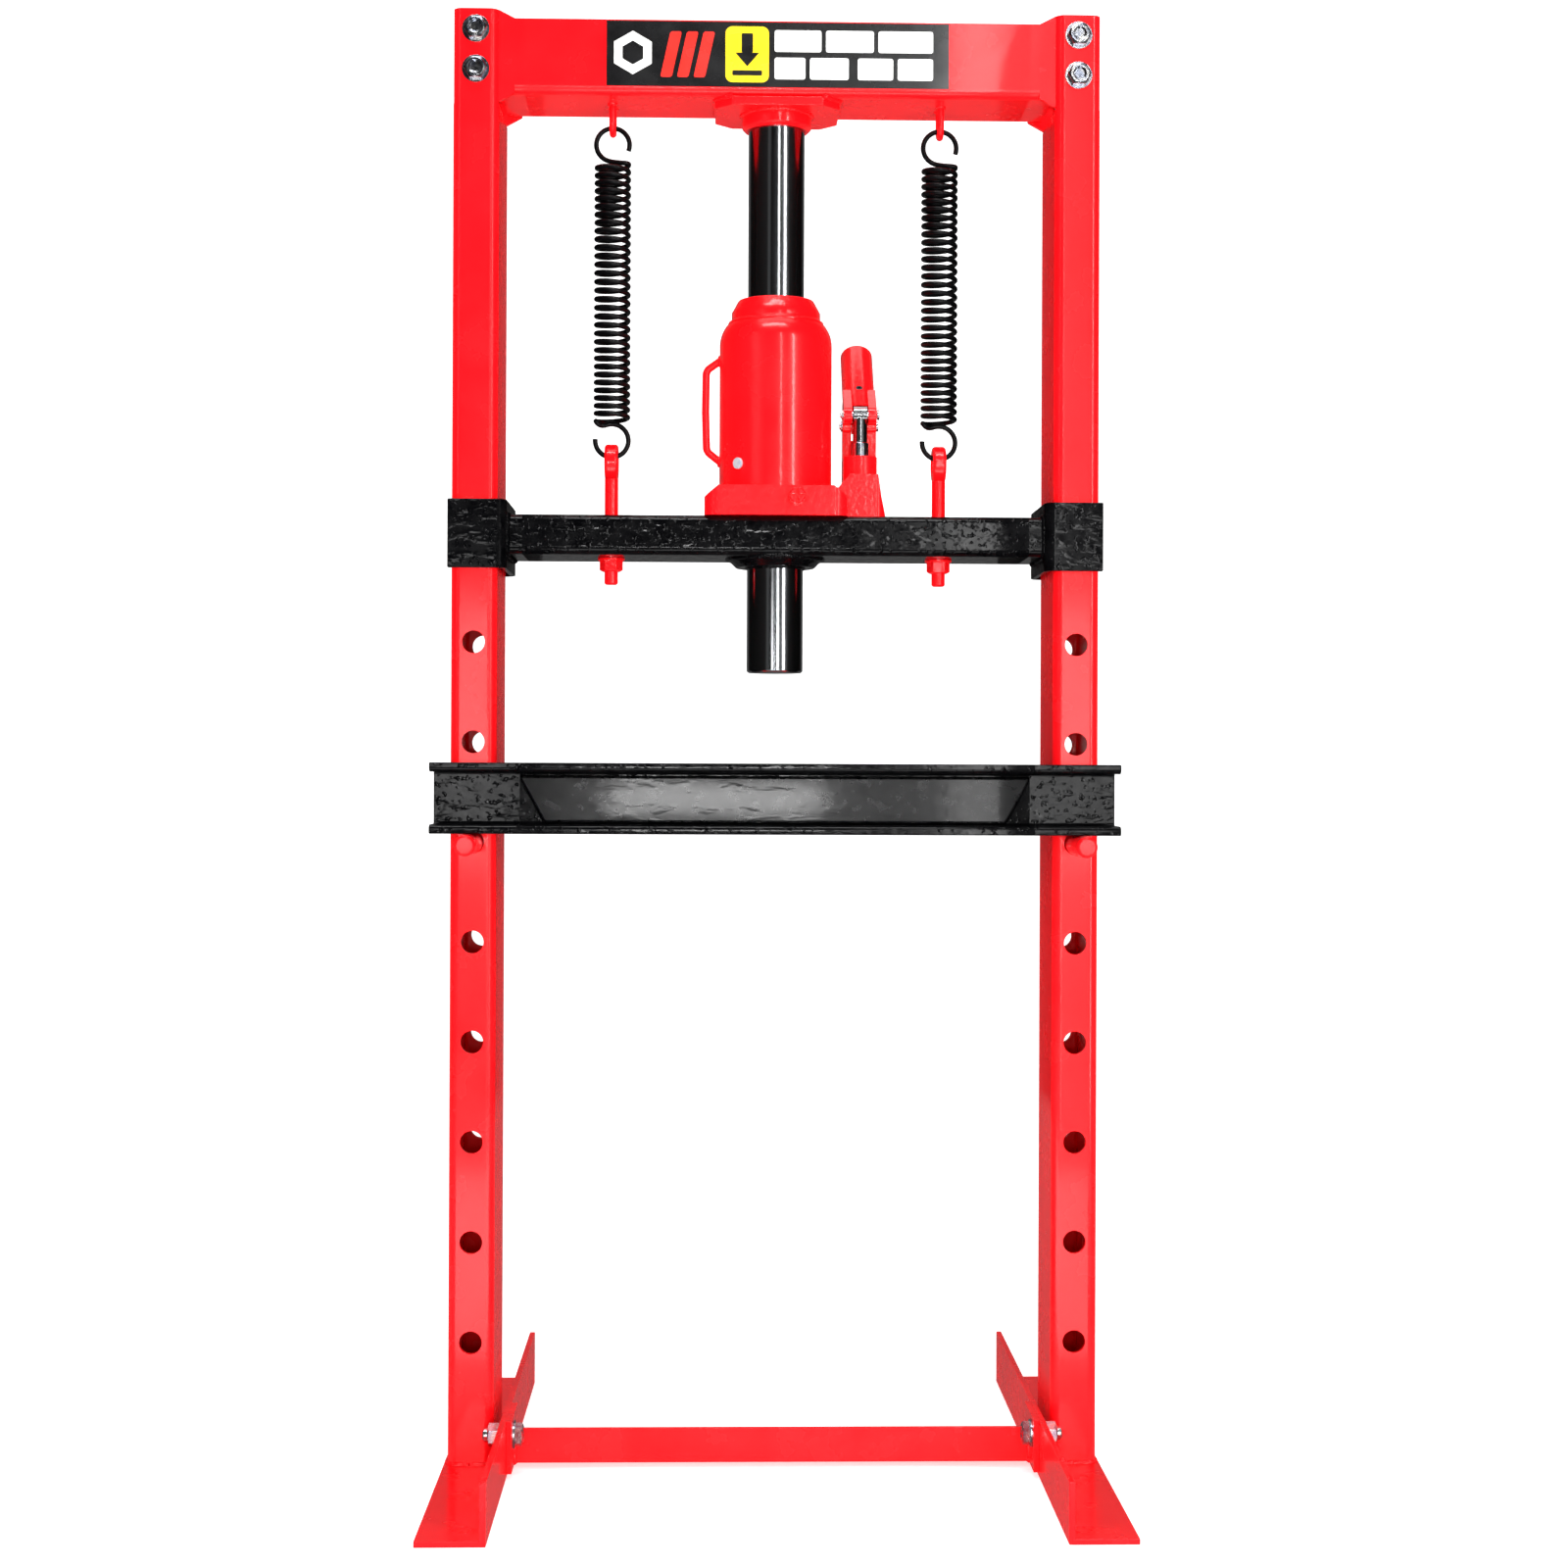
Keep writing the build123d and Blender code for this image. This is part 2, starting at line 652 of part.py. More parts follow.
# Crosshead and jack, which travel together
save(crosshead_beam(), "crosshead_beam")
save(right_guide_bracket(), "right_guide_bracket")
save(other_side(right_guide_bracket()), "left_guide_bracket")
save(ram_flange(), "ram_flange")
save(press_ram(), "press_ram")
save_group([eyebolt(), other_side(eyebolt())], "eyebolts")
under_beam = crosshead_bottom - washer_thickness
save_group([Pos(x, 0, under_beam) * washer() for x in (-spring_x, spring_x)], "eyebolt_washers")
save_group([Pos(x, 0, under_beam) * Rot(180, 0, 0) * hex_nut() for x in (-spring_x, spring_x)], "eyebolt_nuts")
save_group([spring_loop(x, bottom_loop_z, 175, 285) for x in (-spring_x, spring_x)], "lower_spring_loops")
save(jack_base(), "jack_base")
save_group(check_balls(), "check_balls")
save(release_valve(), "release_valve")
save(jack_cylinder(), "jack_cylinder")
save(reservoir_tube(), "reservoir_tube")
save(filler_plug(), "filler_plug")
save(reservoir_cap(), "reservoir_cap")
save(gland_nut(), "gland_nut")
save(rod_wiper(), "rod_wiper")
save(carry_handle(), "carry_handle")

# Hand pump
save(pump_cylinder(), "pump_cylinder")
save(pump_gland(), "pump_gland")
save(pump_plunger(), "pump_plunger")
save(handle_socket(), "handle_socket")
save_group(link_pins(), "link_pins")
save_group(link_pin_clips(), "link_pin_clips")
save(socket_screw(), "socket_screw")

# Bed and its pins
save(front_bed_channel(), "front_bed_channel")
save(front_to_rear(front_bed_channel()), "rear_bed_channel")
save(front_bed_stiffener(), "front_bed_stiffener")
save(front_to_rear(front_bed_stiffener()), "rear_bed_stiffener")
save_group(bed_spacers(), "bed_spacers")
save(right_bed_pin(), "right_bed_pin")
save(other_side(right_bed_pin()), "left_bed_pin")
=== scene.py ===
import math
import bpy
import numpy as np
from mathutils import Matrix


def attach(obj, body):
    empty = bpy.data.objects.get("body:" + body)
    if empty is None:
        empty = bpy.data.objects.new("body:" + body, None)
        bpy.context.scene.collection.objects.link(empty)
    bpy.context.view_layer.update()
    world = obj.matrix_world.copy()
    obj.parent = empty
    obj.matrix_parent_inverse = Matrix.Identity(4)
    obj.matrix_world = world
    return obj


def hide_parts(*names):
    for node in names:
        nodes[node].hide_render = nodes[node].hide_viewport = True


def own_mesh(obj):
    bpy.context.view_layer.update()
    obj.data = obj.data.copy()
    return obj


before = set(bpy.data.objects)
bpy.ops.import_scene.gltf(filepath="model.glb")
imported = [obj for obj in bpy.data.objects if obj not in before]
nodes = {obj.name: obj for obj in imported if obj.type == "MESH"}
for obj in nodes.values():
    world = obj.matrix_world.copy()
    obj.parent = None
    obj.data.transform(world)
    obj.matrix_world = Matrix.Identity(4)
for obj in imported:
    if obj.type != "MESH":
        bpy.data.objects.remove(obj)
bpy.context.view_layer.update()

scene = bpy.context.scene
rng = np.random.default_rng(12)


def toLinear(code):
    # An sRGB hex code as linear red, green, blue and alpha.
    parts = [int(code[i:i + 2], 16) / 255 for i in (1, 3, 5)]
    return [p / 12.92 if p <= 0.04045 else ((p + 0.055) / 1.055) ** 2.4 for p in parts] + [1.0]


def addNode(tree, kind, inputs=None, **props):
    node = tree.nodes.new(kind)
    for key, value in props.items():
        setattr(node, key, value)
    for key, value in (inputs or {}).items():
        if isinstance(value, bpy.types.NodeSocket):
            tree.links.new(value, node.inputs[key])
        else:
            node.inputs[key].default_value = value
    return node


def startMaterial(name):
    # A new material's tree and shader, and the object's own coordinates for its patterns.
    material = bpy.data.materials.new(name)
    material.use_nodes = True
    tree = material.node_tree
    tree.nodes.clear()
    shader = addNode(tree, "ShaderNodeBsdfPrincipled")
    output = addNode(tree, "ShaderNodeOutputMaterial")
    tree.links.new(shader.outputs[0], output.inputs[0])
    place = addNode(tree, "ShaderNodeTexCoord").outputs["Object"]
    return material, tree, shader, place


def noiseOf(tree, place, sizeMm, detail=2.0, stretch=None):
    # Noise whose blobs are about sizeMm across: scale = 1000 / sizeMm per metre.
    if stretch:
        place = addNode(tree, "ShaderNodeMapping", {"Vector": place, "Scale": stretch}).outputs[0]
    inputs = {"Vector": place, "Scale": 1000.0 / sizeMm, "Detail": detail}
    return addNode(tree, "ShaderNodeTexNoise", inputs).outputs["Fac"]


def rampOf(tree, value, low, high, outLow=0.0, outHigh=1.0):
    ramp = addNode(tree, "ShaderNodeMapRange", {
        "Value": value, "From Min": low, "From Max": high, "To Min": outLow, "To Max": outHigh})
    return ramp.outputs["Result"]


def mixOf(tree, factor, first, second):
    mix = addNode(tree, "ShaderNodeMix", data_type="RGBA")
    for socket, value in (("Factor_Float", factor), ("A_Color", first), ("B_Color", second)):
        found = next(s for s in mix.inputs if s.identifier == socket)
        if isinstance(value, bpy.types.NodeSocket):
            tree.links.new(value, found)
        else:
            found.default_value = value
    return next(s for s in mix.outputs if s.identifier == "Result_Color")


def bumpOf(tree, height, depthMm, normal=None):
    # A height field from 0 to 1 as relief of depthMm, on top of another relief if one is given.
    inputs = {"Height": height, "Strength": 1.0, "Distance": depthMm / 1000.0}
    if normal is not None:
        inputs["Normal"] = normal
    return addNode(tree, "ShaderNodeBump", inputs).outputs[0]


def wire(tree, shader, **values):
    names = {
        "color": "Base Color", "metal": "Metallic", "rough": "Roughness", "specular": "Specular IOR Level",
        "normal": "Normal", "coat": "Coat Weight", "coatRough": "Coat Roughness", "coatNormal": "Coat Normal"}
    for key, value in values.items():
        socket = shader.inputs[names[key]]
        if isinstance(value, bpy.types.NodeSocket):
            tree.links.new(value, socket)
        else:
            socket.default_value = value


# Sprayed enamel over steel: deep even red with a soft orange-peel ripple and a few dull patches. A casting or
# a weld under it adds low lumps, in millimetres, and a glossier skin.
def makeRedEnamel(name, peel=0.02, lump=0.0, coat=0.35):
    material, tree, shader, place = startMaterial(name)
    tone = rampOf(tree, noiseOf(tree, place, 90, 3), 0.3, 0.7)
    color = mixOf(tree, tone, toLinear("#f20a12"), toLinear("#f90f18"))
    dust = rampOf(tree, noiseOf(tree, place, 7, 6), 0.62, 0.78)
    color = mixOf(tree, rampOf(tree, dust, 0, 1, 0, 0.2), color, toLinear("#b3141d"))
    rough = rampOf(tree, noiseOf(tree, place, 35, 4), 0.3, 0.7, 0.2, 0.3)
    normal = bumpOf(tree, noiseOf(tree, place, 1.6, 1), peel)
    if lump:
        normal = bumpOf(tree, noiseOf(tree, place, 5, 4), lump, normal)
    wire(tree, shader, color=color, rough=rough, normal=normal, specular=0.25)
    wire(tree, shader, coat=coat, coatRough=0.08, coatNormal=normal)
    return material


# Thick black paint over mill scale: near black, with sags along the member and grit that catch the lamps.
# Sag and grit are heights in millimetres.
def makeBlackPaint(name, sag=0.25, grit=0.4, rough=0.15, coat=0.15, specular=0.14):
    material, tree, shader, place = startMaterial(name)
    tone = rampOf(tree, noiseOf(tree, place, 12, 5), 0.4, 0.7)
    color = mixOf(tree, tone, toLinear("#030304"), toLinear("#0a0a0b"))
    roughness = rampOf(tree, noiseOf(tree, place, 9, 5), 0.3, 0.7, rough - 0.06, rough + 0.08)
    runs = rampOf(tree, noiseOf(tree, place, 9, 2, (0.4, 1, 1)), 0.5, 0.75)
    normal = bumpOf(tree, runs, sag)
    if grit:
        specks = rampOf(tree, noiseOf(tree, place, 5, 1), 0.58, 0.74)
        normal = bumpOf(tree, specks, grit, normal)
    wire(tree, shader, color=color, rough=roughness, normal=normal, specular=specular)
    wire(tree, shader, coat=coat, coatRough=0.08, coatNormal=normal)
    return material


# Ground and hard-chromed rod: mirror bright with faint length-wise drag marks.
def makeChrome(name):
    material, tree, shader, place = startMaterial(name)
    marks = noiseOf(tree, place, 0.8, 2, (1, 1, 0.02))
    rough = rampOf(tree, marks, 0.3, 0.7, 0.13, 0.18)
    wire(tree, shader, color=toLinear("#a9abae"), metal=1.0, rough=rough, normal=bumpOf(tree, marks, 0.0004))
    return material


# Zinc-plated fastener: pale grey with a cloudy blue-yellow passivate. A dull one scatters more light.
def makeZinc(name, dull=0.0, metal=1.0):
    material, tree, shader, place = startMaterial(name)
    cloud = rampOf(tree, noiseOf(tree, place, 6, 3), 0.35, 0.65)
    color = mixOf(tree, cloud, toLinear("#a9b1c4"), toLinear("#d3d2d0"))
    rough = rampOf(tree, noiseOf(tree, place, 2.5, 3), 0.3, 0.7, 0.14 + dull, 0.28 + dull)
    normal = bumpOf(tree, noiseOf(tree, place, 3.5, 1), 0.008)
    wire(tree, shader, color=color, metal=metal, rough=rough, normal=normal)
    return material


# Turned or oiled steel: darker metal with fine tool marks.
def makeSteel(name, code, rough=0.35):
    material, tree, shader, place = startMaterial(name)
    marks = noiseOf(tree, place, 1.5, 4)
    oil = rampOf(tree, noiseOf(tree, place, 8, 4), 0.3, 0.7, 0, 0.6)
    color = mixOf(tree, oil, toLinear(code), toLinear("#2a2826"))
    sheen = rampOf(tree, marks, 0.3, 0.7, rough - 0.1, rough + 0.1)
    wire(tree, shader, color=color, metal=1.0, rough=sheen, normal=bumpOf(tree, marks, 0.02))
    return material


# Moulded rubber: black, not metal, with a faint mould texture and a trace of dust.
def makeMoulded(name, code, rough):
    material, tree, shader, place = startMaterial(name)
    grain = noiseOf(tree, place, 0.7, 3)
    dust = rampOf(tree, noiseOf(tree, place, 10, 3), 0.3, 0.7, 0, 0.3)
    color = mixOf(tree, dust, toLinear(code), toLinear("#6a6864"))
    sheen = rampOf(tree, grain, 0.3, 0.7, rough - 0.08, rough + 0.08)
    wire(tree, shader, color=color, rough=sheen, normal=bumpOf(tree, grain, 0.02))
    return material


# Printed vinyl: flat ink under a clear film that lies slightly wavy on the steel.
def makeVinyl(name, code):
    material, tree, shader, place = startMaterial(name)
    dirt = rampOf(tree, noiseOf(tree, place, 20, 3), 0.3, 0.7, 0, 0.12)
    color = mixOf(tree, dirt, toLinear(code), toLinear("#3a3a3c"))
    sheen = rampOf(tree, noiseOf(tree, place, 25, 3), 0.3, 0.7, 0.2, 0.32)
    normal = bumpOf(tree, noiseOf(tree, place, 14, 2), 0.05)
    wire(tree, shader, color=color, rough=sheen, normal=normal, coat=0.3, coatRough=0.08)
    return material


redSheet = makeRedEnamel("red_enamel_on_sheet_steel")
redCast = makeRedEnamel("red_enamel_on_castings", peel=0.03, lump=0.25, coat=0.5)
redWeld = makeRedEnamel("red_enamel_on_weld", peel=0.03, lump=0.35, coat=0.5)
blackSteel = makeBlackPaint("black_paint_on_hot_rolled_steel")
blackSmooth = makeBlackPaint("black_paint_on_channel", sag=0.15, grit=0.25)
blackPlate = makeBlackPaint("black_paint_on_flat_plate", sag=0.03, grit=0.0, rough=0.3, coat=0.2,
                            specular=0.25)
blackWeld = makeBlackPaint("black_paint_on_weld", sag=0.6, grit=0.5)
blackWire = makeBlackPaint("black_coated_spring_wire", sag=0.05, grit=0.0, rough=0.36, coat=0.1)
chrome = makeChrome("hard_chromed_rod")
zinc = makeZinc("zinc_plated_fastener")
zincDull = makeZinc("dull_zinc_plated_plug", dull=0.2, metal=0.3)
turned = makeSteel("turned_steel", "#9c9da0")
oiled = makeSteel("oiled_black_steel", "#55565a", 0.4)
rubber = makeMoulded("moulded_black_rubber", "#101010", 0.55)
vinylBlack = makeVinyl("printed_vinyl_black", "#0b0b0c")
vinylYellow = makeVinyl("printed_vinyl_yellow", "#f7d21c")
vinylWhite = makeVinyl("printed_vinyl_white", "#f4f4f2")
vinylRed = makeVinyl("printed_vinyl_red", "#ee2a22")
print("materials done")

# Which CAD node gets which finish, and how wide its rounded edges are, in millimetres.
coats = {
    redSheet: ["right_post", "left_post", "right_foot", "left_foot", "lower_crossbar", "upper_crossbeam",
               "spring_hangers", "ram_socket_plate", "reservoir_tube", "reservoir_cap", "carry_handle",
               "right_bed_pin", "left_bed_pin"],
    redCast: ["jack_base", "gland_nut", "handle_socket", "eyebolts", "ram_cup", "release_valve"],
    blackSteel: ["crosshead_beam", "right_guide_bracket", "left_guide_bracket", "ram_flange"],
    blackSmooth: ["front_bed_channel", "rear_bed_channel", "bed_spacers"],
    blackPlate: ["front_bed_stiffener", "rear_bed_stiffener"],
    blackWire: ["spring_coils", "upper_spring_loops", "lower_spring_loops"],
    chrome: ["jack_ram", "press_ram", "pump_plunger", "ram_piston"],
    zinc: ["corner_bolts", "crossbar_bolts", "frame_washers", "frame_nuts", "link_pins", "link_pin_clips",
           "check_balls", "pump_gland"],
    redWeld: ["eyebolt_washers", "eyebolt_nuts"],
    turned: ["jack_cylinder", "pump_cylinder"],
    oiled: ["socket_screw"],
    rubber: ["piston_seal", "rod_wiper"],
    zincDull: ["filler_plug"],
    vinylBlack: ["front_label"],
}
edgeRadius = {
    "right_post": 0.8, "left_post": 0.8, "right_foot": 0.8, "left_foot": 0.8, "lower_crossbar": 0.7,
    "upper_crossbeam": 0.8, "ram_socket_plate": 1.0, "ram_cup": 0.8, "jack_base": 1.8, "handle_socket": 0.9,
    "gland_nut": 0.7, "crosshead_beam": 0.7, "right_guide_bracket": 0.9, "left_guide_bracket": 0.9,
    "ram_flange": 0.8, "front_bed_channel": 0.9, "rear_bed_channel": 0.9, "front_bed_stiffener": 1.0,
    "rear_bed_stiffener": 1.0, "bed_spacers": 0.8, "right_bed_pin": 0.6, "left_bed_pin": 0.6,
    "frame_washers": 0.25, "eyebolt_washers": 0.25, "corner_bolts": 0.3, "crossbar_bolts": 0.3,
    "frame_nuts": 0.3, "eyebolt_nuts": 0.5, "release_valve": 0.4, "link_pins": 0.3, "link_pin_clips": 0.15,
    "pump_gland": 0.4, "filler_plug": 0.2, "press_ram": 0.3, "pump_plunger": 0.4, "front_label": 0.1}


def roundEdges(obj, widthMm):
    # Split vertices are joined, flat areas become single faces, and corners over 30 degrees are rounded.
    weld = obj.modifiers.new("Join", "WELD")
    weld.merge_threshold = 0.00001
    flat = obj.modifiers.new("Flatten", "DECIMATE")
    flat.decimate_type = "DISSOLVE"
    flat.angle_limit = math.radians(0.5)
    bevel = obj.modifiers.new("Round", "BEVEL")
    bevel.width = widthMm / 1000
    bevel.segments = 2
    bevel.limit_method = "ANGLE"
    bevel.angle_limit = math.radians(30)
    bevel.use_clamp_overlap = True
    bevel.harden_normals = False
    even = obj.modifiers.new("Even", "WEIGHTED_NORMAL")
    even.keep_sharp = False


for material, names in coats.items():
    for name in names:
        nodes[name].data.materials.clear()
        nodes[name].data.materials.append(material)
for name, widthMm in edgeRadius.items():
    roundEdges(nodes[name], widthMm)
print("cad pieces done")


def makeMesh(name, vertices, faces, material, body, smoothAngle=40):
    mesh = bpy.data.meshes.new(name)
    mesh.from_pydata([tuple(v) for v in vertices], [], [tuple(f) for f in faces])
    mesh.update()
    obj = bpy.data.objects.new(name, mesh)
    scene.collection.objects.link(obj)
    mesh.materials.append(material)
    mesh.shade_smooth()
    mesh.set_sharp_from_angle(angle=math.radians(smoothAngle))
    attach(obj, body)
    return obj


def tubeAlong(path, radius, sides):
    # Rings of a swept circle. Each ring's frame is the last one turned onto the new tangent.
    path = np.asarray(path, float)
    tangent = np.gradient(path, axis=0)
    tangent /= np.linalg.norm(tangent, axis=1)[:, None]
    side = np.zeros_like(path)
    guide = np.array([0.0, 0.0, 1.0]) if abs(tangent[0, 2]) < 0.9 else np.array([1.0, 0.0, 0.0])
    side[0] = np.cross(tangent[0], guide)
    side[0] /= np.linalg.norm(side[0])
    for i in range(1, len(path)):
        step = side[i - 1] - tangent[i] * (side[i - 1] @ tangent[i])
        side[i] = step / np.linalg.norm(step)
    other = np.cross(tangent, side)
    angle = np.linspace(0, 2 * math.pi, sides, endpoint=False)
    radius = np.broadcast_to(np.asarray(radius, float), (len(path),))
    ring = side[:, None] * np.cos(angle)[None, :, None] + other[:, None] * np.sin(angle)[None, :, None]
    return path[:, None] + ring * radius[:, None, None]


def skinRings(rings):
    # Quads between neighbouring rings, and a cap on each end of the tube.
    count, sides = rings.shape[:2]
    row = np.arange(count - 1)[:, None] * sides
    col = np.arange(sides)[None]
    nextCol = (col + 1) % sides
    corners = [row + col, row + nextCol, row + sides + nextCol, row + sides + col]
    faces = np.stack(corners, -1).reshape(-1, 4).tolist()
    faces.append(list(range(sides))[::-1])
    faces.append(list(range((count - 1) * sides, count * sides)))
    return rings.reshape(-1, 3), faces


def joinParts(parts):
    # Several meshes as one list of vertices and one of faces.
    vertices, faces, start = [], [], 0
    for partVertices, partFaces in parts:
        vertices.append(np.asarray(partVertices))
        faces += [[i + start for i in face] for face in partFaces]
        start += len(partVertices)
    return np.concatenate(vertices), faces


# The return springs, in metres: half thickness of the wire, radius of the coil, and heights of its ends.
springSet = {"x": 0.146, "wire": 0.0022, "radius": 0.0143, "turns": 31.5, "top": 1.1504, "bottom": 0.9214,
             "ring": 0.0148, "upperCentre": 1.1678, "lowerCentre": 0.9040, "reach": 0.022,
             "topOfTube": 1.1522, "keep": 0.484}


def hermite(start, startDir, end, endDir, count=14):
    # A cubic that leaves the start and meets the end along the given directions.
    t = np.linspace(0, 1, count)[:, None]
    pulls = np.array([startDir, endDir]) * springSet["reach"]
    curve = (2 * t**3 - 3 * t**2 + 1) * np.array(start) + (3 * t**2 - 2 * t**3) * np.array(end)
    return curve + (t**3 - 2 * t**2 + t) * pulls[0] + (t**3 - t**2) * pulls[1]


def ringPath(x, centre, fromDegrees, toDegrees):
    # An open ring in the plane of the press.
    ring = springSet["ring"]
    angle = np.radians(np.linspace(fromDegrees, toDegrees, 60))
    return np.stack([x + ring * np.cos(angle), 0 * angle, centre + ring * np.sin(angle)], 1)


def makeSpring(x, label):
    s = springSet
    # A helix of 36 points a turn. The end turns lie close together and the rest are evenly open.
    turn = np.linspace(0, 2 * math.pi * s["turns"], int(s["turns"] * 36))
    share = turn / turn[-1]
    ease = share - 0.010 * np.sin(2 * math.pi * share)
    coil = np.stack([x + s["radius"] * np.cos(turn), s["radius"] * np.sin(turn),
                     s["top"] + (s["bottom"] - s["top"]) * ease], 1)
    vertices, faces = skinRings(tubeAlong(coil, s["wire"], 10))
    body = makeMesh(label + "_spring_coil", vertices, faces, blackWire, "frame")
    upper = ringPath(x, s["upperCentre"], -20, 250)
    lead = hermite(upper[-1], (0.94, 0, -0.34), (x + s["radius"], 0, s["top"]), (0, 1, -0.08))
    vertices, faces = skinRings(tubeAlong(np.concatenate([upper, lead[1:]]), s["wire"], 12))
    top = makeMesh(label + "_upper_hook", vertices, faces, blackWire, "frame")
    lower = ringPath(x, s["lowerCentre"], 110, -185)
    lead = hermite((x - s["radius"], 0, s["bottom"]), (0, -1, -0.08), lower[0], (0.94, 0, 0.34))
    vertices, faces = skinRings(tubeAlong(np.concatenate([lead[:-1], lower]), s["wire"], 12))
    bottom = makeMesh(label + "_lower_hook", vertices, faces, blackWire, "crosshead")
    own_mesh(body)
    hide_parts("spring_coils")
    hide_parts("upper_spring_loops")
    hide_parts("lower_spring_loops")


makeSpring(-springSet["x"], "left")
makeSpring(springSet["x"], "right")
print("springs done")

# Weld beads: a ring each step and a swell each ripple, in metres. The other values are shares of the radius.
weldSet = {"step": 0.0009, "ripple": 0.0024, "rippleDepth": 0.10, "unevenness": 0.10, "patch": 0.008,
           "wobble": 0.00012, "endShare": 0.45, "sides": 8}


def beadAlong(points, radiusMm):
    # A rippled bead: even steps along the corners, softened, with a radius that swells at each ripple.
    s = weldSet
    points = np.asarray(points, float) / 1000
    length = np.concatenate([[0], np.cumsum(np.linalg.norm(np.diff(points, axis=0), axis=1))])
    at = np.linspace(0, length[-1], max(8, int(length[-1] / s["step"])))
    path = np.stack([np.interp(at, length, points[:, i]) for i in range(3)], 1)
    padded = np.concatenate([np.repeat(path[:1], 2, 0), path, np.repeat(path[-1:], 2, 0)])
    path = sum(padded[i:i + len(path)] for i in range(5)) / 5
    path += rng.normal(0, s["wobble"], path.shape)
    swell = 1 + s["rippleDepth"] * np.sin(2 * math.pi * at / s["ripple"])
    patches = np.arange(0, at[-1] + 0.01, s["patch"])
    swell += s["unevenness"] * np.interp(at, patches, rng.normal(0, 1, len(patches)))
    swell[[0, -1]] *= s["endShare"]
    return skinRings(tubeAlong(path, radiusMm / 1000 * np.clip(swell, 0.4, 1.4), s["sides"]))


def circlePoints(x, y, z, radius, axis="z"):
    # A circle with a small overlap where the bead ends.
    angle = np.radians(np.linspace(0, 364, 92))
    a, b = radius * np.cos(angle), radius * np.sin(angle)
    if axis == "x":
        return np.stack([x + 0 * a, y + a, z + b], 1)
    return np.stack([x + a, y + b, z + 0 * a], 1)


def bothSides(points):
    points = np.asarray(points, float)
    return [points, points * (-1, 1, 1)]


def weldGroup(name, beads, material, body):
    vertices, faces = joinParts([beadAlong(points, radius) for points, radius in beads])
    piece = makeMesh(name, vertices, faces, material, body, 60)


def boxPath(start, low, high, bend, cut):
    # From a start on the first side once round a box with cut corners, in two axes.
    (a0, b0), (a1, b1) = low, high
    ba, bb = bend
    return [start, (a1 - ba, b0), (a1 - cut, b0 + cut), (a1, b0 + bb), (a1, b1 - bb), (a1 - cut, b1 - cut),
            (a1 - ba, b1), (a0 + ba, b1), (a0 + cut, b1 - cut), (a0, b1 - bb), (a0, b0 + bb),
            (a0 + cut, b0 + cut), (a0 + ba, b0)]


# Millimetres. Each bead is a path and a radius, and its path is mirrored where both sides have one.
postWeld = {"low": (243.5, -48), "high": (283.5, 48), "bend": (8.5, 8), "cut": 2.5, "z": 5, "radius": 2.6}
crossheadWeld = {"x": 235, "low": (-45, 799), "high": (45, 834), "bend": (7, 7), "cut": 2, "radius": 2.6}
bedWeld = {"plateY": 56.5, "plateRadius": 1.9, "spacerX": 233, "spacerY": 49, "spacerRadius": 2.3}

w = postWeld
postFoot = boxPath((263.5, -48), w["low"], w["high"], w["bend"], w["cut"]) + [(264, -48)]
frameBeads = [(p, w["radius"]) for p in bothSides([(x, y, w["z"]) for x, y in postFoot])]
frameBeads += [(p, 2.0) for p in bothSides([(225, -45, 36), (225, -45, 6), (225, -14, 6)])]
for y in (-9, 9):
    frameBeads += [(p, 1.7) for p in bothSides(circlePoints(springSet["x"] * 1000, y, 1202, 3.4))]
plateEnd = [(40, -42, 1202), (55, -27, 1202), (55, 27, 1202), (40, 42, 1202)]
frameBeads += [(p, 2.4) for p in bothSides(plateEnd)]
frameBeads.append((circlePoints(0, 0, 1194, 31), 2.2))
weldGroup("frame_welds", frameBeads, redWeld, "frame")

w = crossheadWeld
boxEnd = boxPath((-38, 799), w["low"], w["high"], w["bend"], w["cut"])
crossheadBeads = [(p, w["radius"]) for p in bothSides([(w["x"], y, z) for y, z in boxEnd])]
crossheadBeads += [(circlePoints(0, 0, 799, 42), 2.4), (circlePoints(0, 0, 791, 25.4), 1.6)]
weldGroup("crosshead_welds", crossheadBeads, blackWeld, "crosshead")

handleBeads = [(circlePoints(-50, 0, z, 3.7, "x"), 1.6) for z in (975.5, 885.9)]
weldGroup("handle_welds", handleBeads, redWeld, "crosshead")

w = bedWeld
bedBeads = []
for side in (-1, 1):
    outline = [(-200, 566), (-221, 604), (221, 604), (200, 566), (-200, 566)]
    bedBeads.append(([(x, side * w["plateY"], z) for x, z in outline], w["plateRadius"]))
    upright = [(w["spacerX"], side * w["spacerY"], z) for z in (563, 609)]
    bedBeads += [(p, w["spacerRadius"]) for p in bothSides(upright)]
weldGroup("bed_welds", bedBeads, blackWeld, "bed")
print("welds done")

# The label's face, the thickness of a layer of print, and how far it sinks into the label, in millimetres.
printSet = {"face": -43.5, "film": 0.12, "sink": 0.05}


def roundedBox(x0, z0, x1, z1, radius, slant=0.0):
    # Four sides and four quarter circles, leaning to the right by slant for each millimetre of height.
    corner = np.radians(np.arange(0, 91, 15))
    points = []
    for cx, cz, start in ((x1 - radius, z1 - radius, 0), (x0 + radius, z1 - radius, 90),
                          (x0 + radius, z0 + radius, 180), (x1 - radius, z0 + radius, 270)):
        turn = corner + math.radians(start)
        points += [(cx + radius * math.cos(a), cz + radius * math.sin(a)) for a in turn]
    return [(x + slant * (z - z0), z) for x, z in points]


def hexagon(x, z, radius):
    # Six corners, with one at the top.
    return [(x + radius * math.cos(math.radians(a)), z + radius * math.sin(math.radians(a)))
            for a in range(30, 390, 60)]


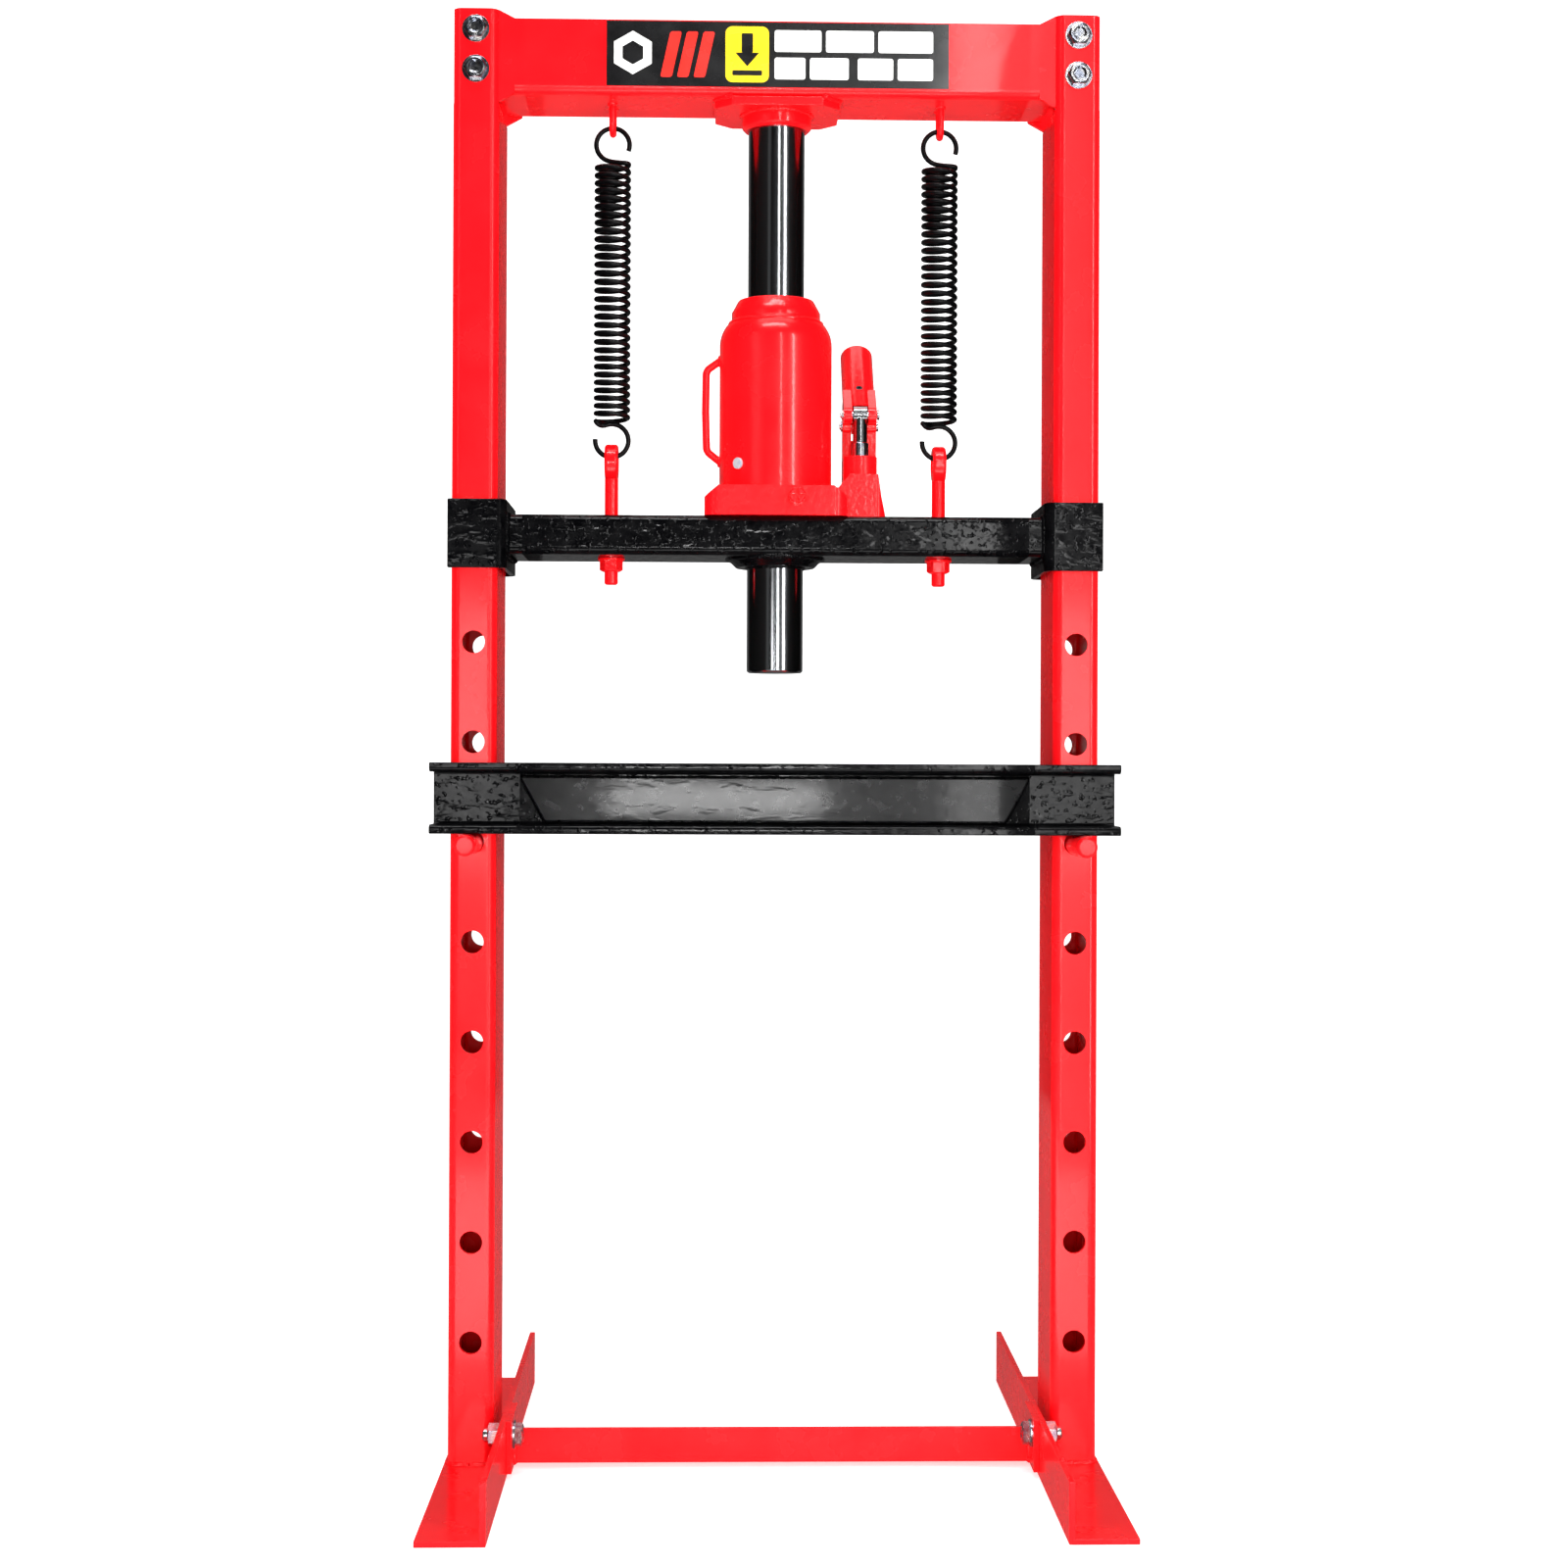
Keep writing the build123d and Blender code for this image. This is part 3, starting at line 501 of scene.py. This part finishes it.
def makePrint(name, shapes, material, layer=1):
    # Each outline runs counter-clockwise seen from the front and becomes a thin closed plate.
    s = printSet
    parts = []
    for outline in shapes:
        count = len(outline)
        front = [(x, s["face"] - s["film"] * layer, z) for x, z in outline]
        back = [(x, s["face"] + s["sink"], z) for x, z in outline]
        faces = [list(range(count)), list(range(2 * count - 1, count - 1, -1))]
        faces += [[i, i + count, (i + 1) % count + count, (i + 1) % count] for i in range(count)]
        parts.append((np.array(front + back) / 1000, faces))
    vertices, faces = joinParts(parts)
    piece = makeMesh(name, vertices, faces, material, "frame", 30)


makePrint("label_badge", [roundedBox(-46, 1213, -8, 1262, 6)], vinylYellow)
makePrint("label_pictogram", [
    [(-27, 1227), (-16.5, 1239), (-37.5, 1239)], roundedBox(-32, 1239, -22, 1256, 1),
    roundedBox(-40, 1219, -14, 1223.5, 1)], vinylBlack, 2)
bars = [roundedBox(x0, 1240, x1, 1259, 2) for x0, x1 in ((-3, 38), (42, 84), (88, 136))]
bars += [roundedBox(x0, 1216, x1, 1235, 2) for x0, x1 in ((-3, 24), (28, 62), (70, 101), (105, 136))]
makePrint("label_white_bars", bars + [hexagon(-127, 1238, 19)], vinylWhite)
makePrint("label_nut_hole", [hexagon(-127, 1238, 10.5)], vinylBlack, 2)
makePrint("label_red_stripes", [
    roundedBox(-103 + 14.5 * i, 1217, -93 + 14.5 * i, 1257, 2, 0.22) for i in range(3)], vinylRed)
print("label done")

# The camera's place in metres, its turns in radians, its lens in millimetres, and its shift in frame widths.
cameraSet = {"place": (-0.04815, -2.1895, 0.6164), "yaw": 0.0260, "pitch": 0.0021, "roll": 0.0040,
             "lens": 56.3, "shiftY": -0.0161}


def makeCamera():
    s = cameraSet
    flat = np.array([math.sin(s["yaw"]), math.cos(s["yaw"]), 0])
    right = np.array([math.cos(s["yaw"]), -math.sin(s["yaw"]), 0])
    forward = math.cos(s["pitch"]) * flat + math.sin(s["pitch"]) * np.array([0, 0, 1])
    up = -math.sin(s["pitch"]) * flat + math.cos(s["pitch"]) * np.array([0, 0, 1])
    turnedRight = math.cos(s["roll"]) * right + math.sin(s["roll"]) * up
    turnedUp = -math.sin(s["roll"]) * right + math.cos(s["roll"]) * up
    data = bpy.data.cameras.new("camera")
    data.sensor_width = 36
    data.lens = s["lens"]
    data.shift_y = s["shiftY"]
    camera = bpy.data.objects.new("camera", data)
    matrix = Matrix([list(row) for row in np.stack([turnedRight, turnedUp, -forward], 1)]).to_4x4()
    matrix.translation = s["place"]
    camera.matrix_world = matrix
    scene.collection.objects.link(camera)
    scene.camera = camera


# Lamps and flags, in metres: place, aim, width and height, and a lamp's power in watts before its width.
stageSet = {
    "paperGlow": 0.55, "world": 0.12,
    "floor": {"front": -6.0, "back": 2.5, "side": 6.0, "bend": 1.2, "top": 5.0},
    # Dark cards that only mirror-like surfaces see, which keeps the ram and the black paint dark.
    "flags": {
        "flag_behind_camera": ((0, -3.5, 1.6), (0, 0, 1.6), 3.2, 3.8),
        "flag_left": ((-1.35, -0.7, 0.9), (0, 0.1, 0.9), 1.5, 2.4),
        "flag_post_-1": ((-0.222, -0.05, 0.8), (0, -0.05, 0.8), 0.5, 1.0),
        "flag_post_1": ((0.222, -0.05, 0.8), (0, -0.05, 0.8), 0.5, 1.0)},
    # The two main lamps light the paint but make no reflection.
    "unseen": {
        "key": ((-2.3, -2.6, 1.7), (0, 0, 0.7), 76, 1.1, 2.0),
        "fill": ((2.4, -2.4, 1.5), (0, 0, 0.6), 48, 1.1, 2.0)},
    # Strips draw the lines on the ram and the jack, the line lamps those on the crosshead's rounded corners,
    # and the sheen lamps a soft glow on the posts and the bed.
    "mirrored": {
        "top": ((0.0, 0.3, 3.2), (0, 0, 0.6), 24, 2.0, 2.0),
        "strip_near": ((0.42, -2.4, 1.1), (0.42, 0, 1.1), 9.5, 0.11, 2.3),
        "strip_far": ((1.55, -2.2, 1.1), (0, 0, 1.1), 26, 0.2, 2.3),
        "line_above": ((-0.1, -0.9, 2.5), (-0.1, 0, 0.82), 16, 1.2, 0.3),
        "line_below": ((-0.1, -0.75, 0.04), (-0.1, 0, 0.82), 2.5, 1.0, 0.25),
        "sheen_left": ((-0.54, -2.75, 0.68), (-0.54, 0, 0.68), 1.9, 0.2, 0.5),
        "sheen_right": ((0.66, -2.75, 0.68), (0.66, 0, 0.68), 1.7, 0.2, 0.5),
        "sheen_bed": ((-0.06, -2.75, 0.55), (-0.06, 0, 0.55), 6.5, 0.42, 0.12)}}


def makeFlag(name, material, centre, facing, width, height):
    centre = np.array(centre, float)
    normal = np.array(facing, float) - centre
    normal /= np.linalg.norm(normal)
    across = np.cross((0, 0, 1), normal)
    across /= np.linalg.norm(across)
    right, up = across * width / 2, np.cross(normal, across) * height / 2
    corners = [centre - right - up, centre + right - up, centre + right + up, centre - right + up]
    mesh = bpy.data.meshes.new(name)
    mesh.from_pydata([tuple(c) for c in corners], [], [(0, 1, 2, 3)])
    mesh.materials.append(material)
    flag = bpy.data.objects.new(name, mesh)
    scene.collection.objects.link(flag)
    flag.visible_camera = False
    flag.visible_diffuse = False
    flag.visible_shadow = False


def makeLamp(name, mirrored, place, aim, power, width, height):
    lamp = bpy.data.lights.new(name, "AREA")
    lamp.energy = power
    lamp.shape = "RECTANGLE"
    lamp.size = width
    lamp.size_y = height
    away = np.array(place, float) - np.array(aim, float)
    away /= np.linalg.norm(away)
    side = np.cross((0, 1, 0) if abs(away[2]) > 0.9 else (0, 0, 1), away)
    side /= np.linalg.norm(side)
    turned = Matrix([list(row) for row in np.stack([side, np.cross(away, side), away], 1)]).to_4x4()
    turned.translation = place
    obj = bpy.data.objects.new(name, lamp)
    obj.matrix_world = turned
    obj.visible_camera = False
    obj.visible_glossy = mirrored
    scene.collection.objects.link(obj)


def makeFloor():
    # A sweep: a flat floor, a quarter circle, then an upright sheet behind. The paper glows a little so that
    # it stays white, and polished parts don't mirror it.
    s = stageSet["floor"]
    material, tree, shader, place = startMaterial("studio_paper")
    color = mixOf(tree, noiseOf(tree, place, 400, 3), toLinear("#f7f7f7"), toLinear("#fbfbfb"))
    wire(tree, shader, color=color, rough=0.9)
    shader.inputs["Emission Color"].default_value = (1, 1, 1, 1)
    shader.inputs["Emission Strength"].default_value = stageSet["paperGlow"]
    turn = np.linspace(0, math.pi / 2, 25)
    y = np.concatenate([[s["front"]], s["back"] + s["bend"] * np.sin(turn), [s["back"] + s["bend"]]])
    z = np.concatenate([[0.0], s["bend"] - s["bend"] * np.cos(turn), [s["top"]]])
    left = np.stack([np.full_like(y, -s["side"]), y, z], 1)
    right = np.stack([np.full_like(y, s["side"]), y, z], 1)
    count = len(y)
    mesh = bpy.data.meshes.new("studio_floor")
    mesh.from_pydata([tuple(v) for v in np.concatenate([left, right])], [],
                     [(i, count + i, count + i + 1, i + 1) for i in range(count - 1)])
    mesh.materials.append(material)
    mesh.shade_smooth()
    floor = bpy.data.objects.new("studio_floor", mesh)
    scene.collection.objects.link(floor)
    floor.visible_glossy = False


def makeLight():
    black, tree, shader, place = startMaterial("black_flag")
    wire(tree, shader, color=toLinear("#040404"), rough=0.9)
    for name, values in stageSet["flags"].items():
        makeFlag(name, black, *values)
    for name, values in stageSet["unseen"].items():
        makeLamp(name, False, *values)
    for name, values in stageSet["mirrored"].items():
        makeLamp(name, True, *values)
    world = bpy.data.worlds.new("studio")
    world.use_nodes = True
    world.node_tree.nodes["Background"].inputs[0].default_value = (1, 1, 1, 1)
    world.node_tree.nodes["Background"].inputs[1].default_value = stageSet["world"]
    scene.world = world
    scene.view_settings.view_transform = "Standard"


makeCamera()
makeFloor()
makeLight()
print("stage done")
